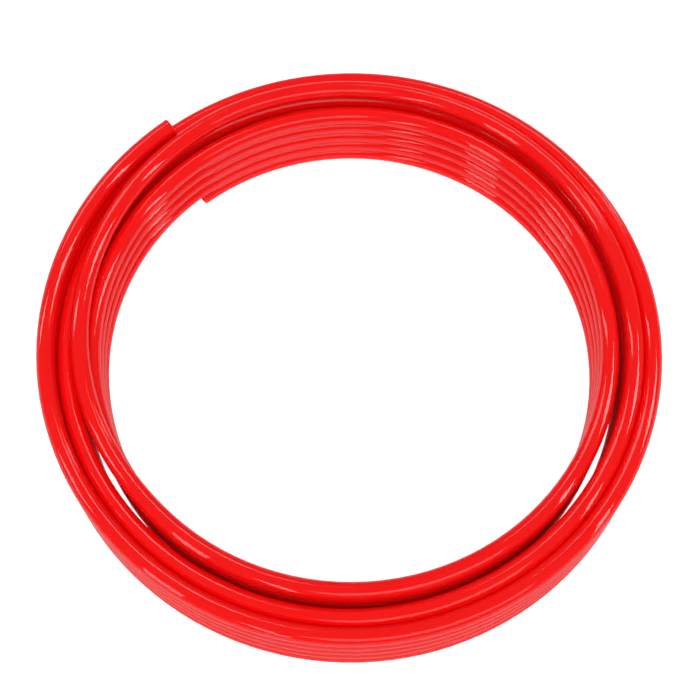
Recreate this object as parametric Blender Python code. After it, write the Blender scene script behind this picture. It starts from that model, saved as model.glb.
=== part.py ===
"""Coiled air hose: one length of 8 x 5 mm polyurethane air tube wound into a round coil.

The tube is wound clockwise, seen from above, in three layers round a vertical axis. The inner
layer climbs from the cut end on the floor, the tube then crosses outwards over the top of the
coil, the middle layer goes down to the floor, and the outer layer climbs again to the other cut
end. Each layer is one closed solid of its outer shape. The stretch that crosses over the top
and the two cut ends are tubes of their own.

Units are metres, +Z is up, the floor is z = 0 and the coil's axis is x = y = 0. Angles are in
degrees, clockwise from +X seen from above. Route positions are turns from the inner end.
"""

import math

import bmesh
import bpy
from mathutils import Vector

# The tube
TUBE_DIAMETER = 0.008
BORE_DIAMETER = 0.005
CLEARANCE = 0.0003          # kept between solids that touch on the real coil

# The winding
INNER_RADIUS = 0.1134       # coil radius at the tube's centre line, for each layer
MIDDLE_RADIUS = 0.1239
OUTER_RADIUS = 0.1319
START_ANGLE = 231.0         # the inner end
END_ANGLE = 231.2           # the outer end, fifteen turns later
CROSSING_START = 131.0      # where the tube leaves the inner layer, over the top
CROSSING_END = 253.0
CROSSING_TURN = 5.0         # turns from the inner end to the start angle inside that crossing
MIDDLE_FLOOR_TURN = 9.92    # where the middle layer reaches the floor
OUTER_START_TURN = 10.0     # where the outer layer starts to climb
LOWER_CROSSING_START = 195.0
LOWER_CROSSING_END = 250.0
LAYER_TURNS = 5.0
SETTLE = 0.22               # how far, in diameters, the lowest turn sags below an even climb

# The solids
STEP_ANGLE = 9.0            # one facet round the coil
ROWS = 7                    # turns in a layer's outline, the lowest of them under the floor
SIDE_ANGLES = (50.0, 0.0, -50.0)
INNER_LAYER_TOP = 126.0     # where each layer's top turn ends, in whole facets
MIDDLE_LAYER_TOP = 252.0
OUTER_LAYER_TOP = 198.0
INNER_TAIL_ANGLE = 251.0    # where the solid of the inner end stops
SLOT_START_ANGLE = 201.0    # open space under the inner layer in front of that end
FLOOR_BLOCK_SIZE = 0.4
TUBE_SIDES = 16

HOSE_RED = (0.83, 0.010, 0.012, 1.0)
CUT_RED = (0.70, 0.018, 0.018, 1.0)


def clear_scene():
    """Remove whatever the file holds before the model is made."""
    for item in list(bpy.data.objects):
        bpy.data.objects.remove(item, do_unlink=True)


def make_material(name, color, roughness):
    """Return a plain plastic material."""
    material = bpy.data.materials.new(name)
    material.use_nodes = True
    shader = material.node_tree.nodes["Principled BSDF"]
    shader.inputs["Base Color"].default_value = color
    shader.inputs["Roughness"].default_value = roughness
    shader.inputs["Metallic"].default_value = 0.0
    material.diffuse_color = color
    return material


def eased_ramp(share, ease=0.15):
    """Return a straight ramp from 0 to 1 whose first and last parts are rounded."""
    share = min(max(share, 0.0), 1.0)
    scale = 2.0 * ease * (1.0 - ease)
    if share < ease:
        return share * share / scale
    if share > 1.0 - ease:
        return 1.0 - (1.0 - share) ** 2 / scale
    return (share - ease / 2.0) / (1.0 - ease)


def smooth_step(share):
    """Return a smooth rise from 0 to 1."""
    share = min(max(share, 0.0), 1.0)
    return share * share * (3.0 - 2.0 * share)


def row_height(turns_up):
    """Return the height, in diameters, of the centre line that many turns above the floor."""
    slack = SETTLE * min(max(1.0 - turns_up / LAYER_TURNS, 0.0), 1.0)
    return 0.5 + turns_up - slack * math.sin(math.pi * turns_up) ** 2


def turn_at(angle, turns):
    """Return the route position at an angle, after that many whole turns from the inner end."""
    return turns + (angle - START_ANGLE) / 360.0


def on_circle(radius, angle, height):
    """Return the point at a radius, a clockwise angle and a height."""
    radians = math.radians(angle)
    return Vector((radius * math.cos(radians), -radius * math.sin(radians), height))


def route(turn):
    """Return the point of the tube's centre line at a route position."""
    angle = START_ANGLE + 360.0 * turn
    over_start = turn_at(CROSSING_START, CROSSING_TURN)
    over_end = turn_at(CROSSING_END, CROSSING_TURN)
    over = eased_ramp((turn - over_start) / (over_end - over_start))
    under_start = turn_at(LOWER_CROSSING_START, OUTER_START_TURN)
    under_end = turn_at(LOWER_CROSSING_END, OUTER_START_TURN)
    under = smooth_step((turn - under_start) / (under_end - under_start))
    radius = INNER_RADIUS + (MIDDLE_RADIUS - INNER_RADIUS) * over
    radius += (OUTER_RADIUS - MIDDLE_RADIUS) * under
    if turn < OUTER_START_TURN:
        climbing = row_height(turn)
        going_down = row_height(max(MIDDLE_FLOOR_TURN - turn, 0.0))
        height = climbing * (1.0 - over) + going_down * over
    else:
        height = row_height(turn - OUTER_START_TURN)
    return on_circle(radius, angle, height * TUBE_DIAMETER)


def direction(turn):
    """Return the unit direction of the centre line, away from the inner end."""
    small = 1e-4
    return (route(turn + small) - route(turn - small)).normalized()


def finish_object(name, mesh, material):
    """Link a mesh as a named object with its own material, shaded smooth between facets."""
    mesh.materials.append(material)
    mesh.shade_smooth()
    mesh.set_sharp_from_angle(angle=math.radians(50.0))
    item = bpy.data.objects.new(name, mesh)
    bpy.context.scene.collection.objects.link(item)
    return item


def mesh_from(name, form):
    """Turn a bmesh into a mesh whose faces point out."""
    bmesh.ops.recalc_face_normals(form, faces=form.faces)
    mesh = bpy.data.meshes.new(name)
    form.to_mesh(mesh)
    form.free()
    return mesh


def layer_side(turns_up):
    """Return one side of a layer's outline, from the top turn's side down, row by row."""
    tube_radius = TUBE_DIAMETER / 2.0 - CLEARANCE
    side = []
    for row in range(ROWS):
        centre = row_height(turns_up - row) * TUBE_DIAMETER
        for angle in SIDE_ANGLES:
            radians = math.radians(angle)
            offset = tube_radius * math.cos(radians)
            side.append((offset, centre + tube_radius * math.sin(radians)))
    return side


def layer_mesh(name, radius, top_angle, turns_at_top, sense):
    """Sweep the outline of the stacked turns once round the coil.

    The sweep climbs one diameter to top_angle, going clockwise when sense is 1. Its last
    outline stands one turn above its first, so below its top turn it closes on the first.
    """
    form = bmesh.new()
    steps = round(360.0 / STEP_ANGLE)
    per_row = len(SIDE_ANGLES)
    crown_rise = TUBE_DIAMETER / 2.0 - CLEARANCE
    outlines = []
    for step in range(steps + 1):
        angle = top_angle - sense * STEP_ANGLE * (steps - step)
        turns_up = turns_at_top - 1.0 + step / steps
        side = layer_side(turns_up)
        made = per_row if step == steps else len(side)
        outer = [form.verts.new(on_circle(radius + x, angle, z)) for x, z in side[:made]]
        inner = [form.verts.new(on_circle(radius - x, angle, z)) for x, z in side[:made]]
        crown_height = row_height(turns_up) * TUBE_DIAMETER + crown_rise
        crown = form.verts.new(on_circle(radius, angle, crown_height))
        outlines.append((crown, outer, inner))
    first_crown, first_outer, first_inner = outlines[0]
    last_crown, last_outer, last_inner = outlines[-1]
    kept = len(first_outer) - per_row
    outlines[-1] = (last_crown, last_outer + first_outer[:kept], last_inner + first_inner[:kept])
    loops = [outer[::-1] + [crown] + inner for crown, outer, inner in outlines]
    count = len(loops[0])
    for before, after in zip(loops, loops[1:]):
        for index in range(count):
            other = (index + 1) % count
            form.faces.new((before[index], before[other], after[other], after[index]))
    top_step = last_outer[::-1] + [last_crown] + last_inner
    form.faces.new(top_step + [first_inner[0], first_crown, first_outer[0]])
    form.faces.new(first_outer[kept - 1:] + first_inner[kept - 1:][::-1])
    return mesh_from(name, form)


def box_cutter(name, low, high):
    """Return a hidden box that cuts other solids."""
    form = bmesh.new()
    bmesh.ops.create_cube(form, size=1.0)
    size = high - low
    for vertex in form.verts:
        place = vertex.co + Vector((0.5, 0.5, 0.5))
        vertex.co = low + Vector((place.x * size.x, place.y * size.y, place.z * size.z))
    return hide_cutter(name, mesh_from(name, form))


def hide_cutter(name, mesh):
    """Link a mesh as a cutter, which is drawn as wire and left out of the model."""
    cutter = bpy.data.objects.new(name, mesh)
    bpy.context.scene.collection.objects.link(cutter)
    cutter.hide_render = True
    cutter.display_type = "WIRE"
    return cutter


def cut(item, cutter):
    """Subtract a cutter from an object."""
    modifier = item.modifiers.new("cut_" + cutter.name, "BOOLEAN")
    modifier.operation = "DIFFERENCE"
    modifier.solver = "EXACT"
    modifier.object = cutter


def end_slot_mesh(name):
    """Return the space under the inner layer that holds the inner end of the tube."""
    form = bmesh.new()
    half_width = TUBE_DIAMETER / 2.0 + CLEARANCE
    stop = INNER_TAIL_ANGLE + math.degrees(CLEARANCE / INNER_RADIUS)
    steps = math.ceil((stop - SLOT_START_ANGLE) / STEP_ANGLE)
    sections = []
    for step in range(steps + 1):
        angle = SLOT_START_ANGLE + (stop - SLOT_START_ANGLE) * step / steps
        roof = (1.0 + turn_at(angle, 0.0)) * TUBE_DIAMETER + CLEARANCE
        corners = [(-half_width, -TUBE_DIAMETER), (half_width, -TUBE_DIAMETER),
                   (half_width, roof), (-half_width, roof)]
        sections.append([form.verts.new(on_circle(INNER_RADIUS + x, angle, z)) for x, z in corners])
    close_sections(form, sections)
    return mesh_from(name, form)


def close_sections(form, sections):
    """Join a row of equal closed sections into one solid with a face at each end."""
    for before, after in zip(sections, sections[1:]):
        count = len(before)
        for index in range(count):
            other = (index + 1) % count
            form.faces.new((before[index], before[other], after[other], after[index]))
    form.faces.new(sections[0])
    form.faces.new(sections[-1])


def ring_section(form, turn, radius):
    """Return a round section of the tube, square to its centre line."""
    centre = route(turn)
    along = direction(turn)
    across = along.cross(Vector((0.0, 0.0, 1.0))).normalized()
    up = across.cross(along)
    ring = []
    for side in range(TUBE_SIDES):
        radians = 2.0 * math.pi * side / TUBE_SIDES
        offset = across * math.cos(radians) + up * math.sin(radians)
        ring.append(form.verts.new(centre + offset * radius))
    return ring


def tube_end_mesh(name, turns):
    """Return a stretch of real tube with its bore open at both ends."""
    form = bmesh.new()
    outside = [ring_section(form, turn, TUBE_DIAMETER / 2.0) for turn in turns]
    bore = [ring_section(form, turn, BORE_DIAMETER / 2.0) for turn in turns]
    for wall in (outside, bore):
        for before, after in zip(wall, wall[1:]):
            for index in range(TUBE_SIDES):
                other = (index + 1) % TUBE_SIDES
                form.faces.new((before[index], before[other], after[other], after[index]))
    for place in (0, -1):
        for index in range(TUBE_SIDES):
            other = (index + 1) % TUBE_SIDES
            form.faces.new((outside[place][index], outside[place][other],
                            bore[place][other], bore[place][index]))
    return mesh_from(name, form)


def facet_turns(start, stop):
    """Return the route positions of a stretch's ends and of the whole facets between them."""
    first = math.floor((START_ANGLE + 360.0 * start) / STEP_ANGLE) + 1
    last = math.ceil((START_ANGLE + 360.0 * stop) / STEP_ANGLE) - 1
    between = [(facet * STEP_ANGLE - START_ANGLE) / 360.0 for facet in range(first, last + 1)]
    return [start] + between + [stop]


def gap_turn(radius):
    """Return the clearance as a share of a turn at a coil radius."""
    return CLEARANCE / (2.0 * math.pi * radius)


def make_layers():
    """Make the three wound layers, flat where they rest on the floor."""
    inner_turns = turn_at(INNER_LAYER_TOP, CROSSING_TURN)
    middle_turns = MIDDLE_FLOOR_TURN - turn_at(MIDDLE_LAYER_TOP, CROSSING_TURN)
    outer_turns = turn_at(OUTER_LAYER_TOP, LAYER_TURNS)
    plan = [("inner_layer", INNER_RADIUS, INNER_LAYER_TOP, inner_turns, 1.0),
            ("middle_layer", MIDDLE_RADIUS, MIDDLE_LAYER_TOP, middle_turns, -1.0),
            ("outer_layer", OUTER_RADIUS, OUTER_LAYER_TOP, outer_turns, 1.0)]
    half = FLOOR_BLOCK_SIZE / 2.0
    floor_block = box_cutter("floor_block", Vector((-half, -half, -half)), Vector((half, half, 0.0)))
    layers = {}
    for name, radius, top_angle, turns_at_top, sense in plan:
        mesh = layer_mesh(name, radius, top_angle, turns_at_top, sense)
        layers[name] = finish_object(name, mesh, make_material(name, HOSE_RED, 0.22))
        cut(layers[name], floor_block)
    slot = hide_cutter("end_slot", end_slot_mesh("end_slot"))
    cut(layers["inner_layer"], slot)


def make_top_crossover():
    """Make the stretch that crosses over the top, from the inner to the middle layer."""
    start = turn_at(INNER_LAYER_TOP, CROSSING_TURN) + gap_turn(INNER_RADIUS)
    stop = turn_at(MIDDLE_LAYER_TOP, CROSSING_TURN) - gap_turn(MIDDLE_RADIUS)
    points = [route(turn) for turn in facet_turns(start, stop)]
    curve = bpy.data.curves.new("top_crossover", "CURVE")
    curve.dimensions = "3D"
    curve.bevel_depth = TUBE_DIAMETER / 2.0 - CLEARANCE
    curve.bevel_resolution = 3
    curve.render_resolution_u = 0
    curve.use_fill_caps = True
    spline = curve.splines.new("POLY")
    spline.points.add(len(points) - 1)
    for item, point in zip(spline.points, points):
        item.co = (point.x, point.y, point.z, 1.0)
    curve.materials.append(make_material("top_crossover", HOSE_RED, 0.22))
    crossover = bpy.data.objects.new("top_crossover", curve)
    bpy.context.scene.collection.objects.link(crossover)


def make_ends():
    """Make the two cut ends as real tube, each up to its layer's solid."""
    inner_stop = turn_at(INNER_TAIL_ANGLE, 0.0)
    inner = tube_end_mesh("inner_end", facet_turns(0.0, inner_stop))
    finish_object("inner_end", inner, make_material("inner_end", CUT_RED, 0.25))
    outer_start = turn_at(OUTER_LAYER_TOP, 3.0 * LAYER_TURNS) + gap_turn(OUTER_RADIUS)
    outer_stop = turn_at(END_ANGLE, 3.0 * LAYER_TURNS)
    outer = tube_end_mesh("outer_end", facet_turns(outer_start, outer_stop))
    finish_object("outer_end", outer, make_material("outer_end", CUT_RED, 0.25))


clear_scene()
make_layers()
make_top_crossover()
make_ends()
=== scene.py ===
"""Coiled air hose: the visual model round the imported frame.

The whole hose is one hollow tube of real length, swept along the winding. It replaces every
solid of the frame. Units are metres, +Z is up, and angles are in degrees. The winding's angles
run clockwise from +X seen from above. Route positions are turns from the inner end.
"""

import math

import bpy
import numpy as np
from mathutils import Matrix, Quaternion, Vector


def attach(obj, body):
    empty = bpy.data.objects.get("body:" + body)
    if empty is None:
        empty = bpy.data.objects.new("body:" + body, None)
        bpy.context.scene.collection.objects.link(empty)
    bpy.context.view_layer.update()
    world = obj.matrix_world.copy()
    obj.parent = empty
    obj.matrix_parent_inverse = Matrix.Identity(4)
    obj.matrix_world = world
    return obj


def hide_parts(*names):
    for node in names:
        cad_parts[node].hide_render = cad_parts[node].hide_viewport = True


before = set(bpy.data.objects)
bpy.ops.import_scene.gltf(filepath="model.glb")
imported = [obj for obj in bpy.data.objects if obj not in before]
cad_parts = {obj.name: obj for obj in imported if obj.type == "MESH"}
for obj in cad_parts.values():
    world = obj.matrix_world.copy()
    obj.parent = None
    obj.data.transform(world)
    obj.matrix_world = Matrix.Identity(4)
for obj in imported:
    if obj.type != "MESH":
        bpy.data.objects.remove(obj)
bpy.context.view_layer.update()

# The tube
TUBE_DIAMETER = 0.008
BORE_DIAMETER = 0.005
EDGE_ROUNDING = 0.00018     # how far the knife leaves the cut edges rounded
# The rounding's points, as shares of that: along the tube from its end, and in from its wall.
# The last ring holds the shading of the rounding off the long strips that follow.
ROUNDING = ((0.0, 1.0), (0.29, 0.29), (1.0, 0.0), (1.8, 0.0))

# The winding, as the frame has it
INNER_RADIUS = 0.1134
MIDDLE_RADIUS = 0.1239
OUTER_RADIUS = 0.1319
START_ANGLE = 231.0
END_ANGLE = 231.2
WHOLE_TURNS = 15.0
CROSSING_START = 131.0
CROSSING_END = 253.0
CROSSING_TURN = 5.0
MIDDLE_FLOOR_TURN = 9.92    # where the middle layer has come down to the floor
OUTER_START_TURN = 10.0
LOWER_CROSSING_START = 195.0
LOWER_CROSSING_END = 250.0
LAYER_TURNS = 5.0
SETTLE = 0.22               # sag of a layer's lowest turn, in diameters; higher turns sag less

# The mesh
RINGS_PER_TURN = 120
OUTSIDE_SIDES = 36          # a multiple of BORE_SIDES
BORE_SIDES = 18
ROUTE_STEPS = 12000         # steps in which the route's length is measured
TANGENT_STEP = 0.0001       # turns ahead and behind, between which a direction is taken
SHARP_ANGLE = 40.0

# The plastic, in which red light spreads furthest
PLASTIC = {"IOR": 1.5, "Subsurface Weight": 1.0, "Subsurface Radius": (1.0, 0.15, 0.15),
           "Subsurface Scale": 0.0012}

# The colour sockets of Blender's Mix node, which share their names with others
MIX_COLOR_A = 6
MIX_COLOR_B = 7
MIX_COLOR_RESULT = 2

# The view
CAMERA_ELEVATION = 67.44
CAMERA_DISTANCE = 0.673
CAMERA_TARGET = Vector((-0.00002, 0.00972, 0.0))
CAMERA_LENS = 74.57

# The studio
SOFTBOX_DISTANCE = 4.0
AMBIENT_LIGHT = 0.54        # from the white walls, on matt surfaces
MIRRORED_WALLS = 0.12       # the same walls where the hose mirrors them
SEEN_WALLS = 1.0
OVERHEAD_LIGHT = 3.1        # from the ceiling, which the hose doesn't mirror
FLOOR_HALF_SIDE = 6.0
FLOOR_GLOW = 0.95
MIRRORED_FLOOR_GLOW = 0.13


def eased_ramp(share, ease=0.15):
    """Return a straight ramp from 0 to 1 whose first and last parts are rounded."""
    share = min(max(share, 0.0), 1.0)
    scale = 2.0 * ease * (1.0 - ease)
    if share < ease:
        return share * share / scale
    if share > 1.0 - ease:
        return 1.0 - (1.0 - share) ** 2 / scale
    return (share - ease / 2.0) / (1.0 - ease)


def smooth_step(share):
    """Return a smooth rise from 0 to 1."""
    share = min(max(share, 0.0), 1.0)
    return share * share * (3.0 - 2.0 * share)


def row_height(turns_up):
    """Return the height, in diameters, of the centre line that many turns above the floor."""
    slack = SETTLE * min(max(1.0 - turns_up / LAYER_TURNS, 0.0), 1.0)
    return 0.5 + turns_up - slack * math.sin(math.pi * turns_up) ** 2


def turn_at(angle, turns):
    """Return the route position at an angle, after that many whole turns from the inner end."""
    return turns + (angle - START_ANGLE) / 360.0


def route(turn):
    """Return the point of the tube's centre line at a route position."""
    angle = START_ANGLE + 360.0 * turn
    over_start = turn_at(CROSSING_START, CROSSING_TURN)
    over_end = turn_at(CROSSING_END, CROSSING_TURN)
    over = eased_ramp((turn - over_start) / (over_end - over_start))
    under_start = turn_at(LOWER_CROSSING_START, OUTER_START_TURN)
    under_end = turn_at(LOWER_CROSSING_END, OUTER_START_TURN)
    under = smooth_step((turn - under_start) / (under_end - under_start))
    radius = INNER_RADIUS + (MIDDLE_RADIUS - INNER_RADIUS) * over
    radius += (OUTER_RADIUS - MIDDLE_RADIUS) * under
    if turn < OUTER_START_TURN:
        climbing = row_height(turn)
        going_down = row_height(max(MIDDLE_FLOOR_TURN - turn, 0.0))
        height = climbing * (1.0 - over) + going_down * over
    else:
        height = row_height(turn - OUTER_START_TURN)
    radians = math.radians(angle)
    return Vector((radius * math.cos(radians), -radius * math.sin(radians),
                   height * TUBE_DIAMETER))


def make_camera():
    """Set up the camera at the angle from which the coil is seen."""
    elevation = math.radians(CAMERA_ELEVATION)
    away = Vector((0.0, -math.cos(elevation), math.sin(elevation)))
    camera_data = bpy.data.cameras.new("camera")
    camera_data.lens = CAMERA_LENS
    camera_data.sensor_width = 36.0
    camera = bpy.data.objects.new("camera", camera_data)
    camera.location = CAMERA_TARGET + away * CAMERA_DISTANCE
    camera.rotation_euler = (-away).to_track_quat("-Z", "Y").to_euler()
    bpy.context.scene.collection.objects.link(camera)
    bpy.context.scene.camera = camera


def measured_route():
    """Return closely spaced route positions and how far along the tube each one is."""
    last_turn = turn_at(END_ANGLE, WHOLE_TURNS)
    turns = [last_turn * step / ROUTE_STEPS for step in range(ROUTE_STEPS + 1)]
    points = np.array([route(turn) for turn in turns])
    lengths = np.linalg.norm(np.diff(points, axis=0), axis=1)
    return np.array(turns), np.concatenate([[0.0], np.cumsum(lengths)])


def section_places(length):
    """Return how far along the tube its sections stand, and how far each is rounded in."""
    head = [(share * EDGE_ROUNDING, inset * EDGE_ROUNDING) for share, inset in ROUNDING]
    steps = round(RINGS_PER_TURN * turn_at(END_ANGLE, WHOLE_TURNS))
    body = [(length * step / steps, 0.0) for step in range(1, steps)]
    tail = [(length - along, inset) for along, inset in reversed(head)]
    return head + body + tail


def section_axes(turns):
    """Return the sections' centres, and the level and upright directions across each one."""
    centres = np.array([route(turn) for turn in turns])
    ahead = np.array([route(turn + TANGENT_STEP) for turn in turns])
    behind = np.array([route(turn - TANGENT_STEP) for turn in turns])
    tangents = ahead - behind
    tangents /= np.linalg.norm(tangents, axis=1)[:, None]
    level = np.cross(tangents, [0.0, 0.0, 1.0])
    level /= np.linalg.norm(level, axis=1)[:, None]
    return centres, level, np.cross(level, tangents)


def wall_points(axes, alongs, radii, sides):
    """Return a wall's points, section by section, and each one's place on the straight tube."""
    centres, level, upright = axes
    angles = 2.0 * np.pi * np.arange(sides) / sides
    round_x = np.cos(angles)[None, :] * radii[:, None]
    round_y = np.sin(angles)[None, :] * radii[:, None]
    points = centres[:, None, :] + level[:, None, :] * round_x[:, :, None]
    points = points + upright[:, None, :] * round_y[:, :, None]
    lengthwise = np.broadcast_to(alongs[:, None], round_x.shape)
    places = np.stack([round_x, round_y, lengthwise], axis=-1)
    return points.reshape(-1, 3), places.reshape(-1, 3)


def wall_faces(first, sections, sides, facing_in):
    """Return the four-sided faces of a wall whose points are numbered from first on."""
    faces = []
    for section in range(sections - 1):
        low = first + section * sides
        for side in range(sides):
            other = (side + 1) % sides
            face = (low + side, low + other, low + sides + other, low + sides + side)
            faces.append(face[::-1] if facing_in else face)
    return faces


def cut_faces(outside_first, bore_first, facing_back):
    """Return a cut end's faces, between rings of points numbered from two numbers on."""
    faces = []
    share = OUTSIDE_SIDES // BORE_SIDES
    for side in range(BORE_SIDES):
        outer = [outside_first + (side * share + step) % OUTSIDE_SIDES
                 for step in range(share + 1)]
        face = (bore_first + side, *outer, bore_first + (side + 1) % BORE_SIDES)
        faces.append(face if facing_back else face[::-1])
    return faces


def face_slots(sections, face_count, cut_start):
    """Return each face's material: 1 on the cut ends and their rounded rims, 0 elsewhere."""
    slots = np.zeros(face_count, dtype=np.int32)
    slots[cut_start:] = 1
    rim = len(ROUNDING) - 1
    for start, sides in ((0, OUTSIDE_SIDES), ((sections - 1) * OUTSIDE_SIDES, BORE_SIDES)):
        stop = start + (sections - 1) * sides
        slots[start:start + rim * sides] = 1
        slots[stop - rim * sides:stop] = 1
    return slots


def make_hose():
    """Make the hose as one hollow tube, and return it with its centre line and length."""
    turns, along_route = measured_route()
    length = float(along_route[-1])
    places = section_places(length)
    sections = len(places)
    alongs = np.array([along for along, _ in places])
    insets = np.array([inset for _, inset in places])
    axes = section_axes(np.interp(alongs, along_route, turns))
    outside, outside_space = wall_points(axes, alongs, TUBE_DIAMETER / 2.0 - insets,
                                         OUTSIDE_SIDES)
    bore, bore_space = wall_points(axes, alongs, BORE_DIAMETER / 2.0 + insets, BORE_SIDES)

    faces = wall_faces(0, sections, OUTSIDE_SIDES, facing_in=False)
    faces += wall_faces(len(outside), sections, BORE_SIDES, facing_in=True)
    cut_start = len(faces)
    faces += cut_faces(0, len(outside), facing_back=True)
    faces += cut_faces(len(outside) - OUTSIDE_SIDES, len(outside) + len(bore) - BORE_SIDES,
                       facing_back=False)

    mesh = bpy.data.meshes.new("air_hose")
    mesh.from_pydata(np.concatenate([outside, bore]).tolist(), [], faces)
    space = mesh.attributes.new("tube_space", "FLOAT_VECTOR", "POINT")
    space.data.foreach_set("vector", np.concatenate([outside_space, bore_space]).ravel())
    mesh.materials.append(hose_material())
    mesh.materials.append(cut_material())
    slots = face_slots(sections, len(faces), cut_start)
    mesh.polygons.foreach_set("material_index", slots)
    mesh.shade_smooth()
    mesh.set_sharp_from_angle(angle=math.radians(SHARP_ANGLE))
    mesh.update()
    hose = bpy.data.objects.new("air_hose", mesh)
    bpy.context.scene.collection.objects.link(hose)
    return hose, axes[0], length


class Nodes:
    """A short way to build a node tree on the tube's own coordinates."""

    def __init__(self, name):
        self.material = bpy.data.materials.new(name)
        self.material.use_nodes = True
        self.tree = self.material.node_tree
        self.shader = self.tree.nodes["Principled BSDF"]
        space = self.add("ShaderNodeAttribute", attribute_name="tube_space")
        self.space = space.outputs["Vector"]

    def add(self, kind, links=None, **settings):
        """Add a node, set its properties and inputs, and link other nodes' outputs to it."""
        node = self.tree.nodes.new(kind)
        for name, value in settings.items():
            if hasattr(node, name):
                setattr(node, name, value)
            else:
                node.inputs[name].default_value = value
        for name, output in (links or {}).items():
            self.tree.links.new(output, node.inputs[name])
        return node

    def feed(self, output, name):
        """Link an output to one of the shader's inputs."""
        self.tree.links.new(output, self.shader.inputs[name])

    def fix(self, constants):
        """Set the shader's inputs that are the same all over the surface."""
        for name, value in constants.items():
            self.shader.inputs[name].default_value = value

    def spread(self, output, low, high):
        """Map a noise's usual range to a narrower or wider one."""
        node = self.add("ShaderNodeMapRange", {"Value": output})
        for name, value in (("From Min", 0.3), ("From Max", 0.7), ("To Min", low), ("To Max", high)):
            node.inputs[name].default_value = value
        return node.outputs["Result"]

    def stretched_noise(self, scale, detail):
        """Return a noise with its own scale across, up and along the tube."""
        mapping = self.add("ShaderNodeMapping", {"Vector": self.space}, Scale=scale)
        noise = self.add("ShaderNodeTexNoise", {"Vector": mapping.outputs["Vector"]},
                         Scale=1.0, Detail=detail)
        return noise.outputs["Fac"]

    def feed_bump(self, height, strength, distance):
        """Link a height to the shader's normal as bumps."""
        bump = self.add("ShaderNodeBump", {"Height": height}, Strength=strength,
                        Distance=distance)
        self.feed(bump.outputs["Normal"], "Normal")


def hose_material():
    """Return glossy red extruded polyurethane, with faint blotches and drawing lines."""
    nodes = Nodes("hose_red")
    blotches = nodes.add("ShaderNodeTexNoise", {"Vector": nodes.space}, Scale=38.0, Detail=3.0)
    share = nodes.spread(blotches.outputs["Fac"], 0.0, 1.0)
    tone = nodes.add("ShaderNodeMix", {"Factor": share}, data_type="RGBA")
    tone.inputs[MIX_COLOR_A].default_value = (0.985, 0.0034, 0.0034, 1.0)
    tone.inputs[MIX_COLOR_B].default_value = (0.950, 0.0021, 0.0021, 1.0)
    nodes.feed(tone.outputs[MIX_COLOR_RESULT], "Base Color")

    smudges = nodes.stretched_noise((300.0, 300.0, 9.0), detail=1.0)
    nodes.feed(nodes.spread(smudges, 0.018, 0.032), "Roughness")
    lines = nodes.stretched_noise((1800.0, 1800.0, 9.0), detail=2.0)
    nodes.feed_bump(lines, strength=0.6, distance=0.00002)
    nodes.fix(PLASTIC)
    return nodes.material


def cut_material():
    """Return the same plastic with the duller face that the knife leaves."""
    nodes = Nodes("cut_face")
    marks = nodes.stretched_noise((600.0, 6000.0, 600.0), detail=3.0)
    nodes.feed(nodes.spread(marks, 0.38, 0.5), "Roughness")
    nodes.feed_bump(marks, strength=0.4, distance=0.00003)
    nodes.fix(PLASTIC)
    nodes.fix({"Base Color": (0.90, 0.008, 0.008, 1.0), "Specular IOR Level": 0.25})
    return nodes.material


def make_glow(tree, usual, levels):
    """Return a strength that is different for the kinds of ray that levels names."""
    paths = tree.nodes.new("ShaderNodeLightPath")
    strength = None
    for ray, level in levels:
        choose = tree.nodes.new("ShaderNodeMix")
        tree.links.new(paths.outputs[ray], choose.inputs["Factor"])
        choose.inputs["A"].default_value = usual
        if strength:
            tree.links.new(strength, choose.inputs["A"])
        choose.inputs["B"].default_value = level
        strength = choose.outputs["Result"]
    return strength


def make_floor():
    """Lay a plain white floor that glows, so that it stays white round the coil."""
    half = FLOOR_HALF_SIDE
    corners = [(-half, -half, 0.0), (half, -half, 0.0), (half, half, 0.0), (-half, half, 0.0)]
    mesh = bpy.data.meshes.new("floor")
    mesh.from_pydata(corners, [], [(0, 1, 2, 3)])
    material = bpy.data.materials.new("floor_white")
    material.use_nodes = True
    shader = material.node_tree.nodes["Principled BSDF"]
    shader.inputs["Base Color"].default_value = (0.35, 0.35, 0.35, 1.0)
    shader.inputs["Roughness"].default_value = 0.7
    shader.inputs["Specular IOR Level"].default_value = 0.0
    shader.inputs["Emission Color"].default_value = (1.0, 1.0, 1.0, 1.0)
    glow = make_glow(material.node_tree, FLOOR_GLOW, [("Is Glossy Ray", MIRRORED_FLOOR_GLOW)])
    material.node_tree.links.new(glow, shader.inputs["Emission Strength"])
    mesh.materials.append(material)
    floor = bpy.data.objects.new("floor", mesh)
    bpy.context.scene.collection.objects.link(floor)


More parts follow.
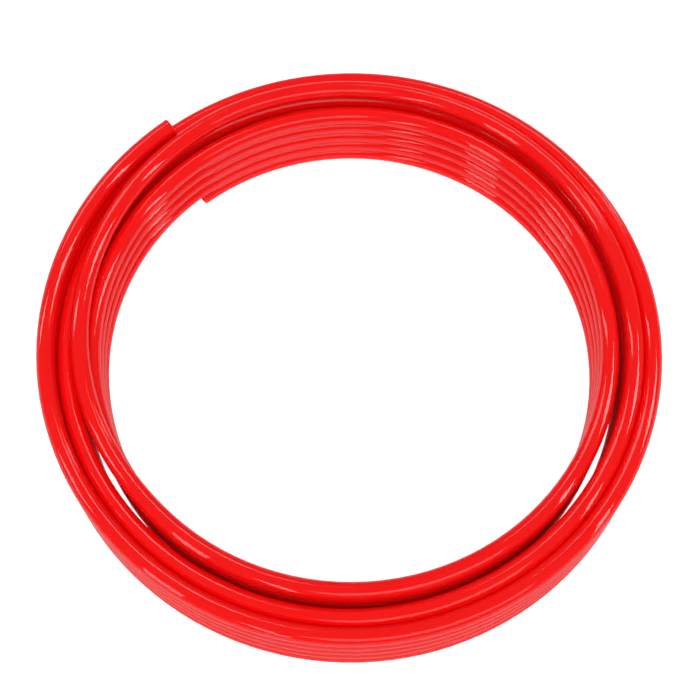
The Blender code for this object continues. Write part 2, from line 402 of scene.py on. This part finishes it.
def make_softbox(name, azimuth, elevation, width, height, lean, radiance, mirrored=True):
    """Hang a rectangular softbox in a direction from the coil, with its size given in degrees.

    The azimuth runs anticlockwise from +X, and a softbox leans clockwise as seen from behind it.
    A mirrored one only shows in the hose's gloss, and any other one only lights it.
    """
    azimuth = math.radians(azimuth)
    elevation = math.radians(elevation)
    toward = Vector((math.cos(elevation) * math.cos(azimuth),
                     math.cos(elevation) * math.sin(azimuth), math.sin(elevation)))
    data = bpy.data.lights.new(name, "AREA")
    data.shape = "RECTANGLE"
    data.size = 2.0 * SOFTBOX_DISTANCE * math.tan(math.radians(width) / 2.0)
    data.size_y = 2.0 * SOFTBOX_DISTANCE * math.tan(math.radians(height) / 2.0)
    data.energy = radiance * math.pi * data.size * data.size_y
    light = bpy.data.objects.new(name, data)
    light.location = toward * SOFTBOX_DISTANCE
    leaning = Quaternion((0.0, 0.0, 1.0), math.radians(-lean))
    light.rotation_mode = "QUATERNION"
    light.rotation_quaternion = toward.to_track_quat("Z", "Y") @ leaning
    light.visible_camera = False
    light.visible_diffuse = not mirrored
    light.visible_glossy = mirrored
    bpy.context.scene.collection.objects.link(light)


def make_world():
    """Surround the scene with soft white, dimmer where the hose mirrors it."""
    world = bpy.data.worlds.new("studio")
    bpy.context.scene.world = world
    world.use_nodes = True
    tree = world.node_tree
    background = tree.nodes["Background"]
    background.inputs["Color"].default_value = (1.0, 1.0, 1.0, 1.0)
    levels = [("Is Glossy Ray", MIRRORED_WALLS), ("Is Camera Ray", SEEN_WALLS)]
    tree.links.new(make_glow(tree, AMBIENT_LIGHT, levels), background.inputs["Strength"])


def make_studio():
    """Light the coil from above, and hang softboxes that it mirrors along its turns.

    Each softbox has its azimuth, elevation, width, height, lean and radiance.
    """
    make_world()
    make_softbox("ceiling", -90.0, 76.0, 42.0, 42.0, 0.0, OVERHEAD_LIGHT, mirrored=False)
    make_softbox("right_key", 15.0, 41.0, 9.0, 32.0, 37.0, 4.8)
    make_softbox("right_strip", -17.0, 30.0, 4.8, 34.0, 18.0, 4.4)
    make_softbox("left_window", -172.0, 35.0, 11.2, 22.0, 0.0, 2.8)
    make_softbox("left_front_window", -138.0, 24.0, 10.5, 34.0, -5.0, 2.3)
    make_softbox("front_left_strip", -110.0, 24.0, 6.0, 32.0, -18.0, 2.5)
    make_softbox("front_screen", -68.0, 45.0, 44.0, 26.0, 0.0, 1.0)
    make_softbox("back_right_window", 71.0, 50.0, 17.0, 17.0, 25.0, 1.9)
    make_softbox("back_left_screen", 122.0, 46.0, 11.5, 30.0, -45.0, 1.7)
    make_softbox("left_back_strip", 152.0, 35.0, 3.6, 30.0, -26.0, 3.4)
    make_softbox("back_right_strip", 48.0, 20.0, 4.8, 28.0, 0.0, 1.3)


bpy.context.scene.view_settings.view_transform = "Standard"
bpy.context.scene.view_settings.gamma = 1.15
make_camera()
hose, centre_line, hose_length = make_hose()
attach(hose, "root")
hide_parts("inner_end", "inner_layer", "top_crossover", "middle_layer", "outer_layer",
            "outer_end")
make_floor()
make_studio()
